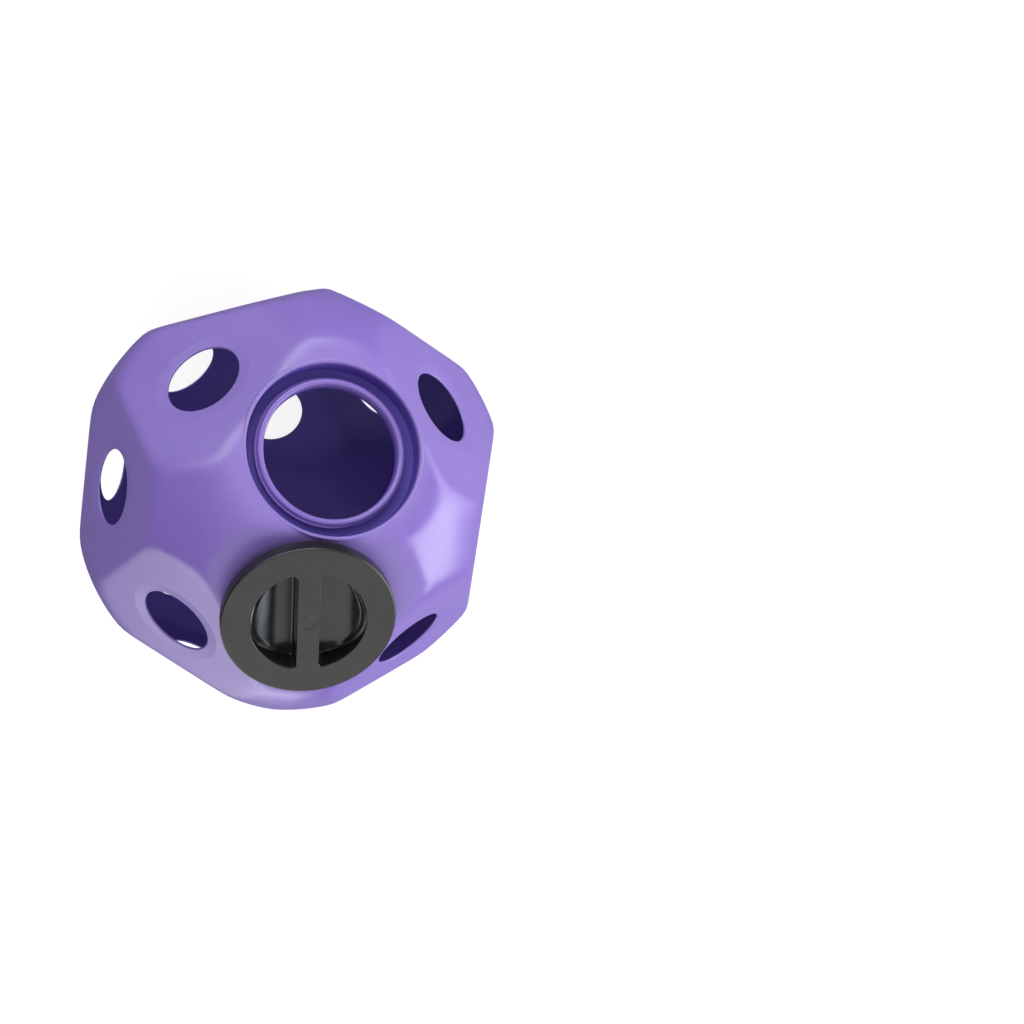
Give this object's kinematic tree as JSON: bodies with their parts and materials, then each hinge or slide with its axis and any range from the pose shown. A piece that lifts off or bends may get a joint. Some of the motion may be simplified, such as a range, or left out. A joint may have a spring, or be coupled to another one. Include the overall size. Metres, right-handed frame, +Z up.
{
  "type": "hay feeding ball",
  "caption": "Hollow plastic ball with round feed holes on its flats and a recessed filling mouth, its screw lid taken off and laid on top; animals roll it and pull hay out.",
  "frame": {"origin": "on the ground, under the middle of the ball", "axes": "+Z up; the filling mouth looks to the front, -Y, and up; +X to the right"},
  "size_m": [0.364, 0.38, 0.3593],
  "materials": {
    "ball_plastic": "satin",
    "lid_plastic": "satin"
  },
  "bodies": {
    "ball": {"ball_shell": "ball_plastic"},
    "lid": {"screw_lid": "lid_plastic"}
  },
  "joints": [
    {"name": "lid_lift", "type": "slide", "parent": "ball", "child": "lid", "axis": [0, 0, 1], "range_m": [0, 0.12]}
  ]
}
